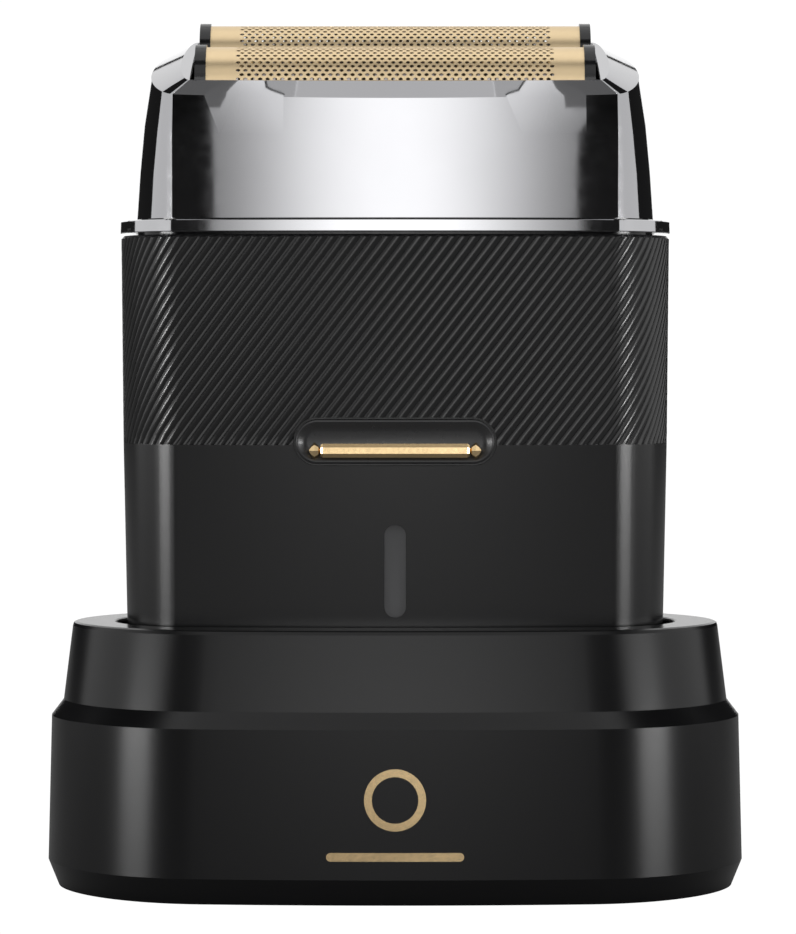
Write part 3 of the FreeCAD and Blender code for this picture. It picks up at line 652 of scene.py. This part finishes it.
def build_foil(name, side):
    bm = bmesh.new()

    def spot(x, s):
        return on_foil(side, x, s)

    def plate(x0, x1, s0, s1):
        bm.faces.new([bm.verts.new(spot(x, s)) for x, s in ((x0, s0), (x1, s0), (x1, s1), (x0, s1))])

    zone = HOLES * HOLE_PITCH / 2 + HOLE_PITCH / 4
    half_rows = HOLE_ROWS * HOLE_ROW / 2
    strips = (-FOIL_HALF, -FOIL_HALF + 0.5, -zone - 0.3, -zone)
    for row in range(HOLE_ROWS):
        s = -half_rows + (row + 0.5) * HOLE_ROW
        shift = HOLE_PITCH / 4 if row % 2 else -HOLE_PITCH / 4
        for i in range(HOLES):
            foil_cell(bm, spot, (i - (HOLES - 1) / 2) * HOLE_PITCH + shift, s)
        for end in (-1, 1):
            inner = end * HOLES * HOLE_PITCH / 2 + shift
            for s0 in (s - HOLE_ROW / 2, s):
                if abs(inner) < zone - 0.01:
                    plate(inner, end * zone, s0, s0 + HOLE_ROW / 2)
                for x0, x1 in zip(strips, strips[1:]):
                    plate(-end * x0, -end * x1, s0, s0 + HOLE_ROW / 2)
    reach = FOIL_R * math.pi / 2 + FOIL_SKIRT
    levels = [half_rows, half_rows + 0.45, FOIL_R * math.pi / 2, reach]
    across = list(strips)
    across += [-zone + HOLE_PITCH / 2 * i for i in range(1, 2 * HOLES + 1)]
    across += [zone, zone + 0.3, FOIL_HALF - 0.5, FOIL_HALF]
    for s0, s1 in zip(levels, levels[1:]):
        for x0, x1 in zip(across, across[1:]):
            plate(x0, x1, s0, s1)
            plate(x0, x1, -s1, -s0)
    bmesh.ops.remove_doubles(bm, verts=bm.verts, dist=0.004)
    piece = finish_mesh(bm, name + "_sheet", 60.0)
    solid = piece.modifiers.new("thickness", "SOLIDIFY")
    solid.thickness = FOIL_THICK * MM
    solid.offset = -1.0
    apply_modifiers(piece)
    dress(piece, "foil_gold")
    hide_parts(name)
    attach(piece, name + "_cassette")


build_dock()
build_casing()
build_button()
build_button_bar()
build_collar()
build_bezel()
build_foil("front_foil", FRONT)
build_foil("rear_foil", REAR)


# ---- stage, light and camera -------------------------------------------------------------------------------
FLOOR_WHITE, WORLD_WHITE = 1.04, 1.05  # strengths that the camera shows as white
WORLD_DIM = 0.015  # the world's strength in reflections and as light


def aim(thing, target):
    direction = Vector(target) - thing.location
    thing.rotation_euler = direction.to_track_quat("-Z", "Y").to_euler()


def panel(name, at, target, width, height, radiance):
    """A rectangular softbox whose power follows from how bright its face is."""
    light = bpy.data.lights.new(name, "AREA")
    light.shape = "RECTANGLE"
    light.size = width
    light.size_y = height
    light.energy = radiance * 4 * width * height
    lamp = bpy.data.objects.new(name, light)
    bpy.context.scene.collection.objects.link(lamp)
    lamp.location = at
    aim(lamp, target)
    return lamp


def build_stage():
    """A floor that the camera sees as white and that everything else meets as mid grey."""
    bm = bmesh.new()
    bmesh.ops.create_grid(bm, x_segments=1, y_segments=1, size=60000)
    floor = finish_mesh(bm, "floor")
    material, tree, shader = new_material("pale floor")
    shade = ramp(tree, noise(tree, 3.0), (0.3, 0.3, 0.3), (0.31, 0.31, 0.31))
    tree.links.new(shade, shader.inputs["Base Color"])
    shader.inputs["Roughness"].default_value = 0.9
    shader.inputs["Specular IOR Level"].default_value = 0.1
    glow = tree.nodes.new("ShaderNodeEmission")
    glow.inputs["Strength"].default_value = FLOOR_WHITE
    path = tree.nodes.new("ShaderNodeLightPath")
    mix = tree.nodes.new("ShaderNodeMixShader")
    tree.links.new(path.outputs["Is Camera Ray"], mix.inputs["Fac"])
    tree.links.new(shader.outputs["BSDF"], mix.inputs[1])
    tree.links.new(glow.outputs["Emission"], mix.inputs[2])
    tree.links.new(mix.outputs["Shader"], tree.nodes["Material Output"].inputs["Surface"])
    floor.data.materials.append(material)


def build_world():
    """White behind everything for the camera's own rays, and nearly black for reflections and light."""
    world = bpy.data.worlds.new("studio")
    bpy.context.scene.world = world
    world.use_nodes = True
    tree = world.node_tree
    out = tree.nodes["World Output"]
    dim = tree.nodes["Background"]
    dim.inputs["Color"].default_value = (1, 1, 1, 1)
    dim.inputs["Strength"].default_value = WORLD_DIM
    white = tree.nodes.new("ShaderNodeBackground")
    white.inputs["Color"].default_value = (1, 1, 1, 1)
    white.inputs["Strength"].default_value = WORLD_WHITE
    path = tree.nodes.new("ShaderNodeLightPath")
    mix = tree.nodes.new("ShaderNodeMixShader")
    tree.links.new(path.outputs["Is Camera Ray"], mix.inputs["Fac"])
    tree.links.new(dim.outputs["Background"], mix.inputs[1])
    tree.links.new(white.outputs["Background"], mix.inputs[2])
    tree.links.new(mix.outputs["Shader"], out.inputs["Surface"])


def grade(lamp, edge):
    """Makes a softbox brightest along its upright middle and dimmer towards its two ends."""
    lamp.data.use_nodes = True
    tree = lamp.data.node_tree
    emission = tree.nodes["Emission"]
    geometry = tree.nodes.new("ShaderNodeNewGeometry")
    split = tree.nodes.new("ShaderNodeSeparateXYZ")
    offset = tree.nodes.new("ShaderNodeMath")
    offset.operation = "SUBTRACT"
    offset.inputs[1].default_value = 0.5
    span = tree.nodes.new("ShaderNodeMath")
    span.operation = "ABSOLUTE"
    fall = tree.nodes.new("ShaderNodeMapRange")
    fall.interpolation_type = "SMOOTHSTEP"
    fall.inputs["From Min"].default_value = 0.02
    fall.inputs["From Max"].default_value = 0.56
    fall.inputs["To Min"].default_value = 1.0
    fall.inputs["To Max"].default_value = edge
    tree.links.new(geometry.outputs["Parametric"], split.inputs[0])
    tree.links.new(split.outputs["X"], offset.inputs[0])
    tree.links.new(offset.outputs[0], span.inputs[0])
    tree.links.new(span.outputs[0], fall.inputs["Value"])
    tree.links.new(fall.outputs[0], emission.inputs["Strength"])


def build_lights():
    """A graded box in front and another above it with a plain one between, a box and a low strip each side,
    two boxes behind and one overhead."""
    front = panel("front box", (0.0, -1.25, 0.16), (0, 0, 0.16), 0.81, 0.31, 1.5)
    grade(front, 0.2)
    for side in (-1, 1):
        panel("side box", (side * 0.95, -0.22, 0.36), (0, -0.22, 0.36), 1.55, 0.7, 0.64)
        panel("low strip", (side * 1.12, -0.62, 0.044), (0, 0, 0.044), 0.5, 0.08, 18.0)
    panel("back box", (0.0, 1.0, 0.88), (0, 0, 0.1), 1.4, 0.9, 0.7)
    panel("low back box", (0.0, 1.4, 0.27), (0, 0, 0.27), 0.8, 0.5, 0.9)
    panel("overhead box", (0.0, 0.1, 1.5), (0, 0.1, 0), 1.5, 1.5, 0.8)
    top = panel("top front box", (0.0, -1.05, 0.86), (0, 0, 0.1), 2.0, 0.62, 0.62)
    grade(top, 0.25)
    panel("middle box", (0.0, -1.2, 0.46), (0, 0, 0.1), 1.5, 0.26, 0.5)


def build_camera():
    camera = bpy.data.cameras.new("camera")
    camera.lens = 159.6
    camera.sensor_width = 36.0
    eye = bpy.data.objects.new("camera", camera)
    bpy.context.scene.collection.objects.link(eye)
    eye.location = (0.00034, -0.5, 0.0665)
    eye.rotation_euler = (math.radians(90.0 - 1.786), 0, 0)
    bpy.context.scene.camera = eye


build_stage()
build_world()
build_lights()
build_camera()
bpy.context.scene.view_settings.view_transform = "Standard"
